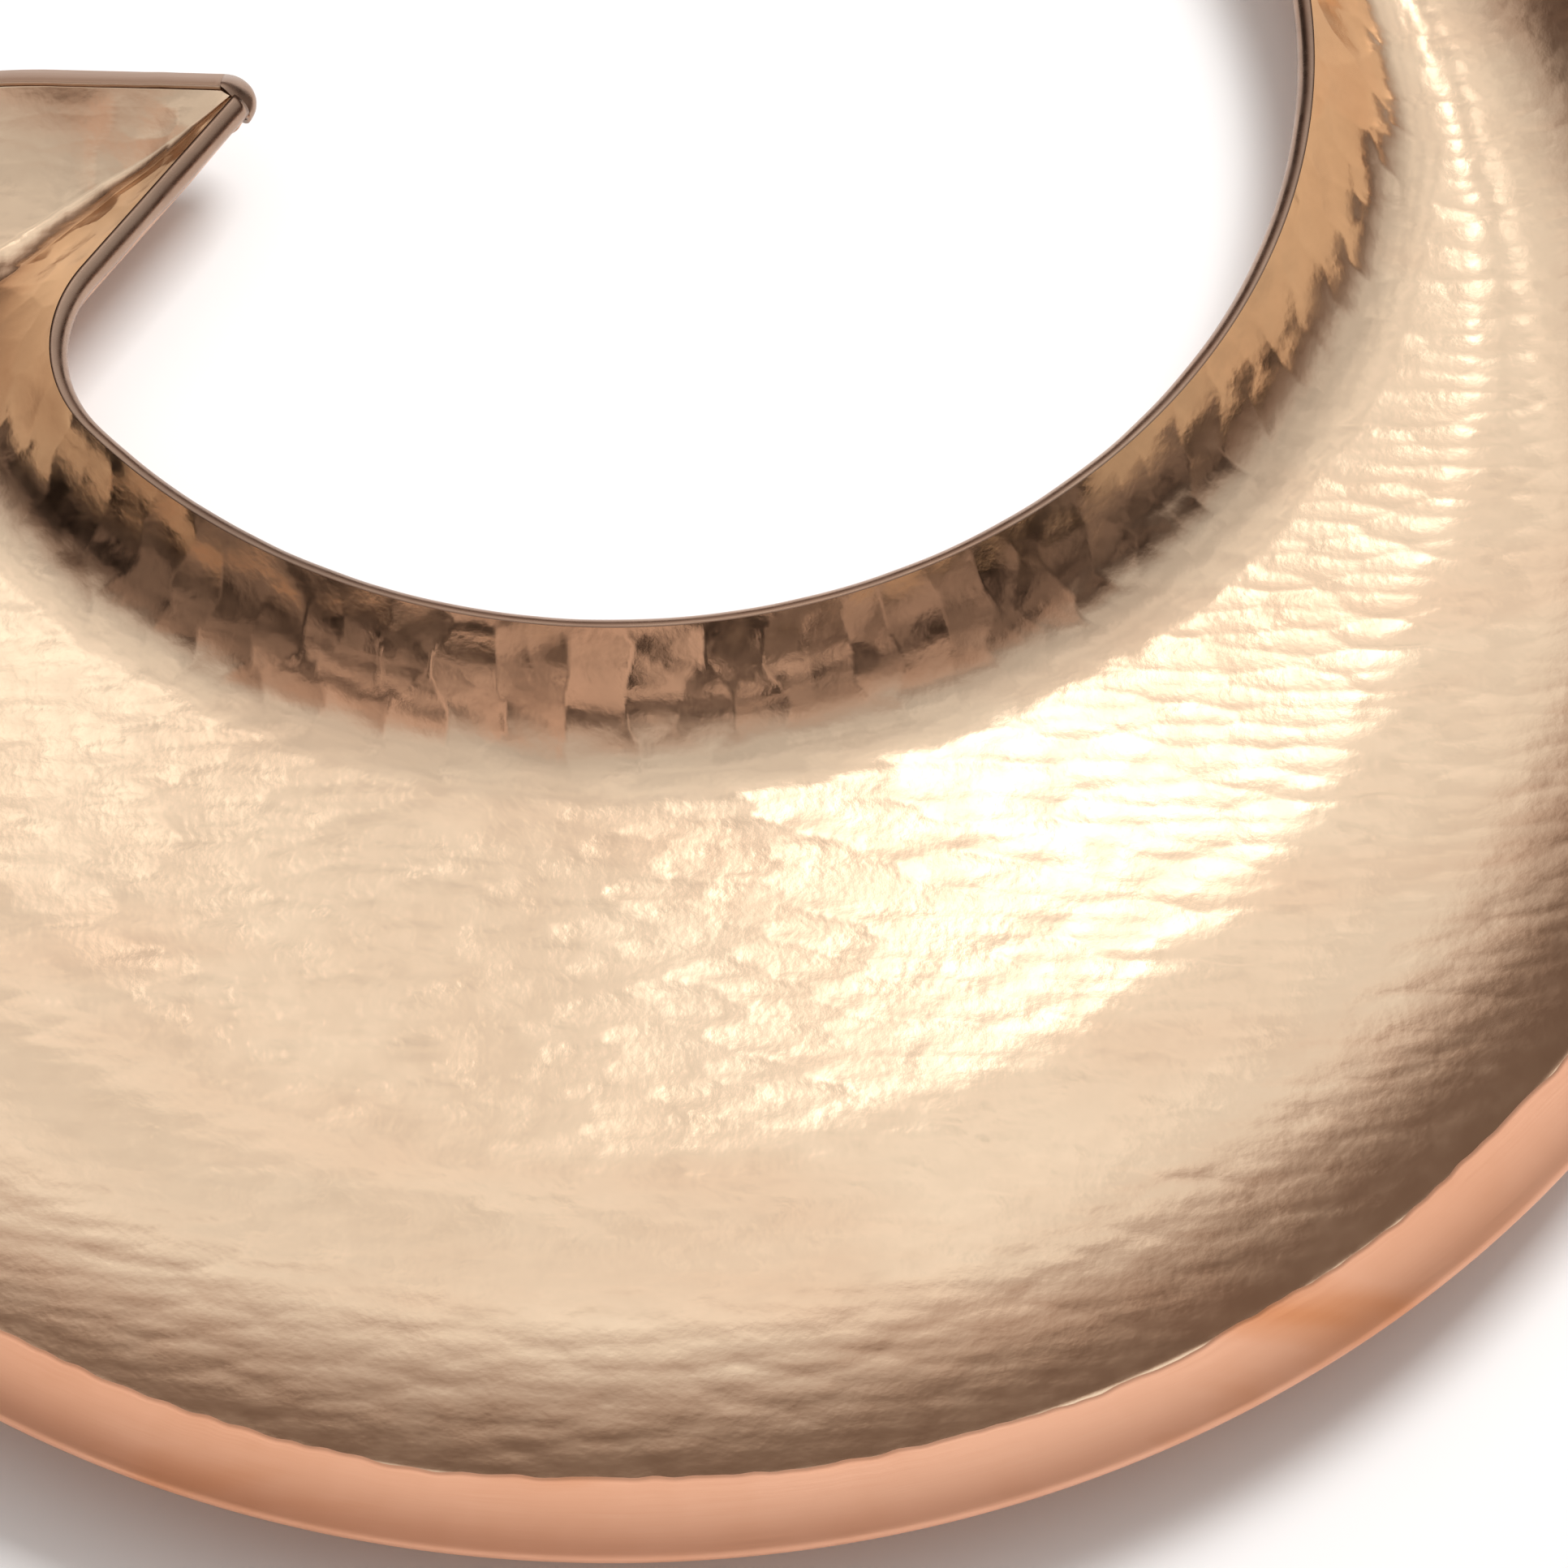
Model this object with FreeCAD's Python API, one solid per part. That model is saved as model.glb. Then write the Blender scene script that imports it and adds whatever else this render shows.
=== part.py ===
import FreeCAD, Part
import math
import os

# Hammered copper bowl: an open crescent trough with one horn curled into its mouth.
# Millimetres, +Z up. The bowl stands on Z = 0, and the origin is the middle of its plan box.

# plan, at the outermost edge of the lip
belly_radius = 170.0        # round the wide side
mouth_radius = 99.0         # round the opening
mouth_shift = -1.6          # sideways offset of the mouth from the belly's centre
crown_gap = 1.6             # belly circle to mouth circle at the crown
elbow_radius = 20.0         # inner corner under the horn
elbow_angle = 222.4         # place of that corner on the mouth circle
horn_reach = 44.3           # elbow centre to horn tip centre
horn_heading = 90.0         # direction of that line
horn_tip_radius = 5.0
arm_tip_radius = 5.0
shoulder_angle = 190.0      # where the shoulder leaves the belly circle
brow_rise = 0.8             # shoulder's top above the horn tip's top

# heights and section
rim_height = 20.0           # crest of the lip above the table
lip_drop = 4.5              # crest down to the middle of the rolled edge
roll_radius = 1.9           # outside radius of the rolled edge
roll_turn = 125.0           # how far the sheet is rolled under, past the outermost point
dish_depth = 14.5           # crest down to the foot of the dish's walls
floor_sag = 2.0             # further dishing at the middle of the floor
mouth_wall_run = 20.0       # plan width of the dish's wall on the mouth side
belly_wall_run = 58.0       # the same on the belly side
mouth_wall_power = 2.2      # how sharply that wall steepens towards the rim
belly_wall_power = 1.9
bead_drop = 2.5             # crest of the mouth bead down to its widest point
bead_turn = 140.0           # how far the bead's outside turns under
bead_neck = 0.25            # how far its inside bulges, as a share of the outside
bead_top = 1.0              # thickness of the bead at the crest
base_inset = 11.0           # lip edge to the edge of the flat base, in plan
tuck = 0.24                 # how far the dish runs in under the lip, as a share of its width
wall_tuck = 4.3             # lip edge to the top of the side walls, in plan
wall_belly = 1.6            # how far the side walls bulge before they turn in
brow_wall_gap = 2.518619    # outer wall's top to the lip above it, where the lip is narrowest
belly_wall_gap = 0.121113   # and where it is widest
bead_tuck = 1.2             # mouth edge to the top of the mouth wall, in plan
bead_wall_drop = 4.8        # crest down to the top of the mouth wall
roll_floor_drop = 6.65      # crest down to the walls' top below the rolled edge, at the tips
keel_gap = 1.25             # wall foot to the middle line where the walls meet under the horns
depth_reach = 30.0          # trough width over which the dish reaches most of its depth
least_dish = 0.8            # the dish stops where its crests are this close

# widths in plan, edge to crest
belly_lip = 9.3
brow_lip = 5.0
mouth_bead = 2.4

# sheet and wire
dish_sheet = 1.0
lip_sheet = 0.9
wall_sheet = 0.9
base_sheet = 1.0
wire_diameter = 1.5
solder_gap = 0.2            # between neighbouring sheets

along = 60                  # stations along the bowl
across = 18                 # steps over the dish
tuck_steps = 2              # and under the lip
edge_step = 5.0             # between sections along an edge
lip_steps = 8
roll_steps = 10
wall_steps = 6
full_room = 200.0           # where no opposite edge is in line


def polar(angle, radius=1.0, centre=(0.0, 0.0)):
    turn = math.radians(angle)
    return (centre[0] + radius * math.cos(turn), centre[1] + radius * math.sin(turn))


def heading(start, end):
    return math.degrees(math.atan2(end[1] - start[1], end[0] - start[0]))


def distance(start, end):
    return math.hypot(end[0] - start[0], end[1] - start[1])


def ease(x):
    x = min(1.0, max(0.0, x))
    return x * x * (3.0 - 2.0 * x)


def blend(keys, x):
    """Smooth value at x through (x, value) pairs."""
    for (x0, v0), (x1, v1) in zip(keys, keys[1:]):
        if x <= x1:
            return v0 + (v1 - v0) * ease((x - x0) / (x1 - x0))
    return keys[-1][1]


# ---- plan: circles and the tangent lines between them ----
belly = (0.0, 0.0)
mouth = (mouth_shift, belly_radius - mouth_radius - crown_gap)
elbow = polar(elbow_angle, mouth_radius - elbow_radius, mouth)
horn_tip = polar(horn_heading, horn_reach, elbow)

brow_level = horn_tip[1] + horn_tip_radius + brow_rise
shoulder_sine = math.sin(math.radians(shoulder_angle))
shoulder_radius = (brow_level - belly_radius * shoulder_sine) / (1.0 - shoulder_sine)
shoulder = polar(shoulder_angle, belly_radius - shoulder_radius)

brow_spread = math.acos((shoulder_radius - horn_tip_radius) / distance(shoulder, horn_tip))
brow_normal = heading(shoulder, horn_tip) + math.degrees(brow_spread)
cheek_spread = math.acos((elbow_radius + horn_tip_radius) / horn_reach)
cheek_normal = horn_heading + math.degrees(cheek_spread)


def arm_tip_centre():
    """Centre of the circle that touches the belly from inside and the mouth from outside."""
    from_belly = belly_radius - arm_tip_radius
    from_mouth = mouth_radius + arm_tip_radius
    apart = distance(belly, mouth)
    along_line = (from_belly ** 2 - from_mouth ** 2 + apart ** 2) / (2.0 * apart)
    off_line = math.sqrt(from_belly ** 2 - along_line ** 2)
    towards = heading(belly, mouth)
    foot = polar(towards, along_line, belly)
    return polar(towards - 90.0, off_line, foot)


arm_tip = arm_tip_centre()
belly_end = heading(belly, arm_tip) + 360.0
mouth_end = heading(mouth, arm_tip) + 360.0

# Each path runs from the horn tip to the arm tip. An arc is (centre, radius, start, end);
# a straight is two points and the direction of its outward normal.
outer_path = [
    ("line", polar(brow_normal, horn_tip_radius, horn_tip),
     polar(brow_normal, shoulder_radius, shoulder), brow_normal),
    ("arc", shoulder, shoulder_radius, brow_normal, shoulder_angle),
    ("arc", belly, belly_radius, shoulder_angle, belly_end),
]
inner_path = [
    ("line", polar(cheek_normal + 180.0, horn_tip_radius, horn_tip),
     polar(cheek_normal, elbow_radius, elbow), cheek_normal),
    ("arc", elbow, elbow_radius, cheek_normal, elbow_angle),
    ("arc", mouth, mouth_radius, elbow_angle, mouth_end),
]


def spot(segment, share):
    """Point at a share of a segment, and the direction away from the arc's centre there."""
    if segment[0] == "line":
        start, end = segment[1], segment[2]
        point = (start[0] + (end[0] - start[0]) * share, start[1] + (end[1] - start[1]) * share)
        return point, segment[3]
    angle = segment[3] + (segment[4] - segment[3]) * share
    return polar(angle, segment[2], segment[1]), angle


def steps(segment):
    if segment[0] == "line":
        length = distance(segment[1], segment[2])
    else:
        length = segment[2] * math.radians(segment[4] - segment[3])
    return max(4, round(length / edge_step))


def hit(point, angle, path):
    """Where a ray from a point meets a path, the distance, and the path's normal there."""
    ray = polar(angle)
    found = None
    for segment in path:
        if segment[0] == "line":
            normal = polar(segment[3])
            facing = ray[0] * normal[0] + ray[1] * normal[1]
            if abs(facing) < 1e-6:
                continue
            start, end = segment[1], segment[2]
            reach = ((start[0] - point[0]) * normal[0] + (start[1] - point[1]) * normal[1]) / facing
            met = (point[0] + ray[0] * reach, point[1] + ray[1] * reach)
            length = distance(start, end)
            share = ((met[0] - start[0]) * (end[0] - start[0])
                     + (met[1] - start[1]) * (end[1] - start[1])) / length ** 2
            hits = [(reach, met, segment[3])] if -0.02 <= share <= 1.001 else []
        else:
            centre, radius = segment[1], segment[2]
            offset = (point[0] - centre[0], point[1] - centre[1])
            half = offset[0] * ray[0] + offset[1] * ray[1]
            inside = half ** 2 - offset[0] ** 2 - offset[1] ** 2 + radius ** 2
            hits = []
            if inside > 0.0:
                for reach in (-half - math.sqrt(inside), -half + math.sqrt(inside)):
                    met = (point[0] + ray[0] * reach, point[1] + ray[1] * reach)
                    angle_met = heading(centre, met) % 360.0
                    for turn in (angle_met, angle_met + 360.0):
                        if segment[3] - 0.8 <= turn <= segment[4] + 2.0:
                            hits.append((reach, met, turn))
        for reach, met, normal_met in hits:
            if reach > 0.5 and (found is None or reach < found[0]):
                found = (reach, met, normal_met)
    return found


def outer_lip(segment, share):
    """Lip width along the belly side."""
    if segment < 2:
        return brow_lip
    return blend([(0.0, brow_lip), (0.15, belly_lip), (0.75, belly_lip), (1.0, arm_tip_radius)], share)


def stations():
    """Pairs across the bowl, from the horn tip to the arm tip.

    Each is (inner point, inner normal, outer point, outer normal, outer lip width), with
    both normals pointing from the mouth side to the belly side.
    """
    horn_start = heading(inner_path[0][1], outer_path[0][1])
    counts = (along // 10, along // 5, along - along // 10 - along // 5)
    result = []
    for index, segment in enumerate(inner_path):
        last = index == len(inner_path) - 1
        for place in range(counts[index] + (1 if last else 0)):
            share = place / counts[index]
            point, normal = spot(segment, share)
            aim = normal
            if index == 0:
                aim = horn_start + (normal - horn_start) * ease(share)
            reach, met, outer_normal = hit(point, aim, outer_path)
            result.append((point, normal, met, outer_normal, outer_lip_at(met)))
    return result


def outer_lip_at(met):
    """Lip width where a cross line meets the belly side."""
    angle = heading(belly, met) % 360.0
    if abs(distance(belly, met) - belly_radius) > 0.01:
        return brow_lip
    if angle < 180.0 and angle < belly_end - 359.0:
        angle += 360.0
    share = (angle - shoulder_angle) / (belly_end - shoulder_angle)
    return outer_lip(2, share)


# ---- solids from grids of points ----
def vectors(points):
    return [FreeCAD.Vector(*point) for point in points]


def sheet(top, under):
    """Closed solid between two grids of the same layout."""
    upper, lower = Part.BSplineSurface(), Part.BSplineSurface()
    upper.interpolate([vectors(row) for row in top])
    lower.interpolate([vectors(row) for row in under])
    faces = [upper.toShape(), lower.toShape()]
    (u0, u1, v0, v1), (p0, p1, q0, q1) = upper.bounds(), lower.bounds()
    for u, p in ((u0, p0), (u1, p1)):
        faces.append(Part.makeRuledSurface(upper.uIso(u).toShape(), lower.uIso(p).toShape(), 1))
    for v, q in ((v0, q0), (v1, q1)):
        faces.append(Part.makeRuledSurface(upper.vIso(v).toShape(), lower.vIso(q).toShape(), 1))
    shell = Part.makeShell(faces)
    shell.sewShape()
    shell.fix(0.001, 0.001, 0.001)
    solid = Part.makeSolid(shell)
    solid.fix(0.001, 0.001, 0.001)
    if solid.Volume < 0:
        solid.reverse()
    return solid


# ---- the dish ----
def dish_height(place, width):
    """Top of the dish at a distance from its mouth-side edge."""
    fullness = 1.0 - math.exp(-(width / depth_reach) ** 1.2)
    mouth_run = min(mouth_wall_run, 0.38 * width)
    belly_run = min(belly_wall_run, 0.6 * width)
    rise = max(0.0, 1.0 - place / mouth_run) ** mouth_wall_power
    rise += max(0.0, 1.0 - (width - place) / belly_run) ** belly_wall_power
    share = place / width
    fall = dish_depth * (1.0 - rise) + floor_sag * 4.0 * share * (1.0 - share)
    return rim_height - (lip_sheet + solder_gap) * share - fullness * fall


def dish_row(pair):
    """Points over the top and the underside of the dish at one cross line."""
    inner, inner_normal, outer, outer_normal, outer_width = pair
    start = polar(inner_normal, mouth_bead + solder_gap, inner)
    end = polar(outer_normal, -outer_width, outer)
    width = distance(start, end)
    aim = heading(start, end)
    top, under = [], []

    def add(place, height, slope):
        point = polar(aim, place, start)
        top.append((point[0], point[1], height))
        under.append((point[0], point[1], height - dish_sheet * math.hypot(1.0, slope)))

    for step in range(across + 1):
        share = 0.5 - 0.5 * math.cos(math.pi * step / across)
        place = width * share
        ahead = min(width, place + 0.05)
        behind = max(0.0, place - 0.05)
        slope = (dish_height(ahead, width) - dish_height(behind, width)) / (ahead - behind)
        add(place, dish_height(place, width), slope)
    facing = math.cos(math.radians(aim - outer_normal))
    for step in range(1, tuck_steps + 1):
        past = tuck * outer_width * step / tuck_steps
        add(width + past, lip_underside(outer_width, past * facing), 0.0)
    return top, under


def lip_underside(width, past):
    """Highest the dish may reach at a distance past the crest, towards the edge."""
    inside = lip_section(width)[1]
    x = width - past
    for (x0, z0), (x1, z1) in zip(inside, inside[1:]):
        if x1 <= x <= x0:
            return z0 + (z1 - z0) * (x0 - x) / (x0 - x1) - solder_gap
    return rim_height - lip_sheet - solder_gap


def hammered_dish():
    rows = []
    for pair in stations():
        start = polar(pair[1], mouth_bead + solder_gap, pair[0])
        end = polar(pair[3], -pair[4], pair[2])
        if distance(start, end) > least_dish:
            rows.append(dish_row(pair))
    return sheet([row[0] for row in rows], [row[1] for row in rows])


# ---- the lips ----
def lip_section(width):
    """Outline of the lip in (distance from the edge, height): outside, then inside."""
    size = min(1.0, width / brow_lip)
    radius = roll_radius * size
    roll = (radius, rim_height - lip_drop * size)
    corner = (radius * (1.0 - math.sqrt(0.5)), roll[1] + radius * math.sqrt(0.5))
    bend = (corner[0] + rim_height - corner[1], rim_height)
    outside, inside = [], []
    for step in range(lip_steps):
        share = step / lip_steps
        x = (1 - share) ** 2 * width + 2 * share * (1 - share) * bend[0] + share ** 2 * corner[0]
        z = (1 - share) ** 2 * rim_height + 2 * share * (1 - share) * bend[1] + share ** 2 * corner[1]
        dx = 2 * (1 - share) * (bend[0] - width) + 2 * share * (corner[0] - bend[0])
        dz = 2 * share * (corner[1] - bend[1])
        length = math.hypot(dx, dz)
        outside.append((x, z))
        inside.append((x - dz / length * lip_sheet, z + dx / length * lip_sheet))
    for step in range(roll_steps + 1):
        angle = 135.0 + (45.0 + roll_turn) * step / roll_steps
        outside.append(polar(angle, radius, roll))
        inside.append(polar(angle, radius - lip_sheet, roll))
    return outside, inside


def belly_lip_strip():
    """Rolled strip along the belly side, from tip to tip."""
    top, under = [], []
    for index, segment in enumerate(outer_path):
        count = steps(segment)
        last = index == len(outer_path) - 1
        for place in range(count + (1 if last else 0)):
            point, normal = spot(segment, place / count)
            outside, inside = lip_section(outer_lip(index, place / count))
            top.append([polar(normal, -x, point) + (z,) for x, z in outside])
            under.append([polar(normal, -x, point) + (z,) for x, z in inside])
    return sheet(top, under)


def bead_section():
    """Outline of the solid bead on the mouth side, as (distance from the edge, height)."""
    outside, inside = [], []
    for step in range(roll_steps + 1):
        turn = math.radians(bead_turn * step / roll_steps)
        out = mouth_bead * math.sin(turn)
        drop = bead_drop * (1.0 - math.cos(turn))
        outside.append((mouth_bead - out, rim_height - drop))
        inside.append((mouth_bead - bead_neck * out, rim_height - bead_top - 0.8 * drop))
    return outside, inside


def mouth_edge_bead():
    """Bead along the mouth side, from tip to tip."""
    outside, inside = bead_section()
    top, under = [], []
    for index, segment in enumerate(inner_path):
        count = steps(segment)
        last = index == len(inner_path) - 1
        for place in range(count + (1 if last else 0)):
            point, normal = spot(segment, place / count)
            top.append([polar(normal, x, point) + (z,) for x, z in outside])
            under.append([polar(normal, x, point) + (z,) for x, z in inside])
    return sheet(top, under)


def tip_cap(centre, radius, start, turn):
    """Rounded end of a horn: the lip's own section turned about the tip."""
    outside, inside = lip_section(radius)
    rim = [FreeCAD.Vector(centre[0] + radius - x, centre[1], z) for x, z in outside]
    inner = [FreeCAD.Vector(centre[0] + radius - x, centre[1], z) for x, z in inside]
    upper = Part.BSplineCurve()
    upper.interpolate(rim)
    lower = Part.BSplineCurve()
    lower.interpolate(inner)
    ends = [Part.LineSegment(rim[0], inner[0]).toShape(), Part.LineSegment(rim[-1], inner[-1]).toShape()]
    face = Part.Face(Part.Wire(Part.__sortEdges__([upper.toShape(), lower.toShape()] + ends)))
    middle = FreeCAD.Vector(centre[0], centre[1], 0)
    up = FreeCAD.Vector(0, 0, 1)
    face.rotate(middle, up, start)
    return face.revolve(middle, up, turn)


# ---- wire in the rolled edge ----
def flat_edge(segment, offset, height):
    """A path segment moved along its normal, as an edge at one height."""
    if segment[0] == "line":
        ends = [polar(segment[3], offset, point) + (height,) for point in segment[1:3]]
        return Part.LineSegment(*vectors(ends)).toShape()
    angles = (segment[3], 0.5 * (segment[3] + segment[4]), segment[4])
    ends = [polar(angle, segment[2] + offset, segment[1]) + (height,) for angle in angles]
    return Part.Arc(*vectors(ends)).toShape()


def belly_rim_wire():
    height = rim_height - lip_drop
    edges = [flat_edge(segment, -roll_radius, height) for segment in outer_path]
    route = Part.Wire(edges)
    start = edges[0].Vertexes[0].Point
    tangent = polar(brow_normal - 90.0)
    ring = Part.Wire(Part.makeCircle(0.5 * wire_diameter, start, FreeCAD.Vector(tangent[0], tangent[1], 0)))
    return route.makePipeShell([ring], True, True)


# ---- walls and base ----
def room(point, normal, opposite, inward):
    """Plan distance from an edge to the middle of the bowl."""
    aim = normal if inward > 0 else normal + 180.0
    found = hit(point, aim, opposite)
    if found is None:
        return full_room
    facing = max(0.2, abs(math.cos(math.radians(found[2] - normal))))
    return found[0] * facing / (1.0 + facing)


def wall_top_under(width, gap):
    """Top of the outer wall below a lip of this width."""
    return lip_underside(width, width - wall_tuck) - gap


wall_top = wall_top_under(brow_lip, brow_wall_gap)
wall_top_gain = (wall_top_under(belly_lip, belly_wall_gap) - wall_top) / (belly_lip - brow_lip)
bead_wall_top = rim_height - bead_wall_drop
roll_floor = rim_height - roll_floor_drop


def belly_head(foot, lip_width):
    """Where the outer wall starts under the lip."""
    full = wall_top + wall_top_gain * max(0.0, lip_width - brow_lip)
    narrow = 2.0 * wall_tuck
    height = blend([(narrow, roll_floor), (base_inset, full)], max(narrow, foot))
    return min(wall_tuck, 0.5 * foot), height


def mouth_head(foot, lip_width):
    """Where the mouth wall starts under the bead."""
    return bead_tuck, bead_wall_top


def wall_section(foot, head, head_height):
    """Slightly bellied wall, as (distance from the edge, height)."""
    drop = (head_height - base_sheet - solder_gap) * foot / base_inset
    outside, inside = [], []
    for step in range(wall_steps + 1):
        share = step / wall_steps
        x = head + (foot - head) * share ** wall_belly
        z = head_height - drop * share
        run = (foot - head) * wall_belly * share ** (wall_belly - 1.0)
        length = math.hypot(run, drop)
        outside.append((x, z))
        inside.append((x + drop / length * wall_sheet, z + run / length * wall_sheet))
    return outside, inside


def wall_rows(segment, count, inward, head_at, width_at, opposite):
    """Wall sections along one path segment; the last one belongs to the next segment."""
    rows = []
    for place in range(count):
        share = place / count
        point, normal = spot(segment, share)
        half = room(point, normal, opposite, inward) if opposite else horn_tip_radius
        foot = min(base_inset, half - keel_gap)
        head, head_height = head_at(foot, width_at(share))
        outside, inside = wall_section(foot, head, head_height)
        rows.append(([polar(normal, inward * x, point) + (z,) for x, z in outside],
                     [polar(normal, inward * x, point) + (z,) for x, z in inside]))
    return rows


def belly_side_wall():
    """Outer wall, carried round both tips."""
    horn_arc = ("arc", horn_tip, horn_tip_radius, cheek_normal - 180.0, brow_normal)
    arm_arc = ("arc", arm_tip, arm_tip_radius, belly_end, mouth_end + 180.0)
    rows = wall_rows(horn_arc, 8, -1.0, belly_head, lambda share: brow_lip, None)
    for index, segment in enumerate(outer_path):
        rows += wall_rows(segment, steps(segment), -1.0, belly_head,
                          lambda share, index=index: outer_lip(index, share), inner_path)
    rows += wall_rows(arm_arc, 10, -1.0, belly_head, lambda share: brow_lip, None)
    return sheet([row[0] for row in rows], [row[1] for row in rows])


def mouth_side_wall():
    rows = []
    for segment in inner_path:
        rows += wall_rows(segment, steps(segment), 1.0, mouth_head, lambda share: mouth_bead, outer_path)
    return sheet([row[0] for row in rows[1:]], [row[1] for row in rows[1:]])


def base_plate(outline):
    inset = outline.makeOffset2D(-base_inset)
    return inset.extrude(FreeCAD.Vector(0, 0, base_sheet))


def outline_face():
    edges = [flat_edge(segment, 0.0, 0.0) for segment in outer_path]
    edges += [flat_edge(segment, 0.0, 0.0) for segment in inner_path]
    horn_arc = ("arc", horn_tip, horn_tip_radius, cheek_normal - 180.0, brow_normal)
    arm_arc = ("arc", arm_tip, arm_tip_radius, belly_end, mouth_end + 180.0)
    edges += [flat_edge(horn_arc, 0.0, 0.0), flat_edge(arm_arc, 0.0, 0.0)]
    return Part.Face(Part.Wire(Part.__sortEdges__(edges)))


def build():
    outline = outline_face()
    box = outline.BoundBox
    shift = FreeCAD.Vector(-box.Center.x, -box.Center.y, 0)
    horn_sweep = brow_normal - (cheek_normal - 180.0)
    arm_sweep = mouth_end + 180.0 - belly_end
    makers = {
        "hammered_dish": hammered_dish,
        "belly_lip": belly_lip_strip,
        "mouth_edge_bead": mouth_edge_bead,
        "horn_tip_cap": lambda: tip_cap(horn_tip, horn_tip_radius, cheek_normal - 180.0, horn_sweep),
        "arm_tip_cap": lambda: tip_cap(arm_tip, arm_tip_radius, belly_end, arm_sweep),
        "belly_rim_wire": belly_rim_wire,
        "belly_side_wall": belly_side_wall,
        "mouth_side_wall": mouth_side_wall,
        "base_plate": lambda: base_plate(outline),
    }
    os.makedirs("parts", exist_ok=True)
    for name, make in makers.items():
        shape = make()
        shape.translate(shift)
        shape.exportStep("parts/" + name + ".step")


build()
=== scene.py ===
import math
import random

import bmesh
import bpy
import numpy as np
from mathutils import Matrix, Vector, kdtree, noise


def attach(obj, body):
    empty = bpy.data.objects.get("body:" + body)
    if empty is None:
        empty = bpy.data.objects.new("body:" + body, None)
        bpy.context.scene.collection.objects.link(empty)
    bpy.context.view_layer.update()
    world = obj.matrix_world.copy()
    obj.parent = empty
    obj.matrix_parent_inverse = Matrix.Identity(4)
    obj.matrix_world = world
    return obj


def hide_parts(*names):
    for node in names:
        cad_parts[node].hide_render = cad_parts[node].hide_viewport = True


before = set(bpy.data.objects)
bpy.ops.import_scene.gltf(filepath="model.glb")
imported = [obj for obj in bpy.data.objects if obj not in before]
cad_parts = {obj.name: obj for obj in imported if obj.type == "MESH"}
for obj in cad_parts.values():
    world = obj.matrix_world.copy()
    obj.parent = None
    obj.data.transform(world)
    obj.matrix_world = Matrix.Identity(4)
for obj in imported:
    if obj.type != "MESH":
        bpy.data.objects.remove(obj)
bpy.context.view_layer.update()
mm = 0.001
print("frame loaded")

# plan of the bowl in mm: tangent circles, worked out round the belly circle's centre
plan = {
    "bellyRadius": 170.0, "mouthRadius": 99.0, "mouthShift": -1.6, "crownGap": 1.6,
    "elbowRadius": 20.0, "elbowAngle": 222.4, "hornReach": 44.3, "hornHeading": 90.0,
    "tipRadius": 5.0, "shoulderAngle": 190.0, "browRise": 0.8,
}
# heights and sheet, in mm
section = {
    "rimHeight": 20.0, "lipDrop": 4.5, "rollRadius": 1.9, "rollTurn": 125.0,
    "lipSheet": 0.9, "seam": 0.2, "dishSheet": 1.0, "wallSheet": 0.9, "baseSheet": 1.0,
}


def polar(angle, radius=1.0, centre=(0.0, 0.0)):
    turn = math.radians(angle)
    return (centre[0] + radius * math.cos(turn), centre[1] + radius * math.sin(turn))


def heading(start, end):
    return math.degrees(math.atan2(end[1] - start[1], end[0] - start[0]))


def apart(start, end):
    return math.hypot(end[0] - start[0], end[1] - start[1])


def ease(x):
    x = min(1.0, max(0.0, x))
    return x * x * (3.0 - 2.0 * x)


def between(keys, x):
    for (x0, v0), (x1, v1) in zip(keys, keys[1:]):
        if x <= x1:
            return v0 + (v1 - v0) * ease((x - x0) / (x1 - x0))
    return keys[-1][1]


# circle centres and the angles where they touch
belly = (0.0, 0.0)
mouth = (plan["mouthShift"], plan["bellyRadius"] - plan["mouthRadius"] - plan["crownGap"])
elbow = polar(plan["elbowAngle"], plan["mouthRadius"] - plan["elbowRadius"], mouth)
hornTip = polar(plan["hornHeading"], plan["hornReach"], elbow)
browLevel = hornTip[1] + plan["tipRadius"] + plan["browRise"]
shoulderSine = math.sin(math.radians(plan["shoulderAngle"]))
shoulderRadius = (browLevel - plan["bellyRadius"] * shoulderSine) / (1.0 - shoulderSine)
shoulder = polar(plan["shoulderAngle"], plan["bellyRadius"] - shoulderRadius)
browNormal = heading(shoulder, hornTip) + math.degrees(
    math.acos((shoulderRadius - plan["tipRadius"]) / apart(shoulder, hornTip)))
cheekNormal = plan["hornHeading"] + math.degrees(
    math.acos((plan["elbowRadius"] + plan["tipRadius"]) / plan["hornReach"]))


def armTipCentre():
    fromBelly = plan["bellyRadius"] - plan["tipRadius"]
    fromMouth = plan["mouthRadius"] + plan["tipRadius"]
    gap = apart(belly, mouth)
    along = (fromBelly ** 2 - fromMouth ** 2 + gap ** 2) / (2.0 * gap)
    towards = heading(belly, mouth)
    foot = polar(towards, along, belly)
    return polar(towards - 90.0, math.sqrt(fromBelly ** 2 - along ** 2), foot)


armTip = armTipCentre()
bellyEnd = heading(belly, armTip) + 360.0
mouthEnd = heading(mouth, armTip) + 360.0

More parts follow.
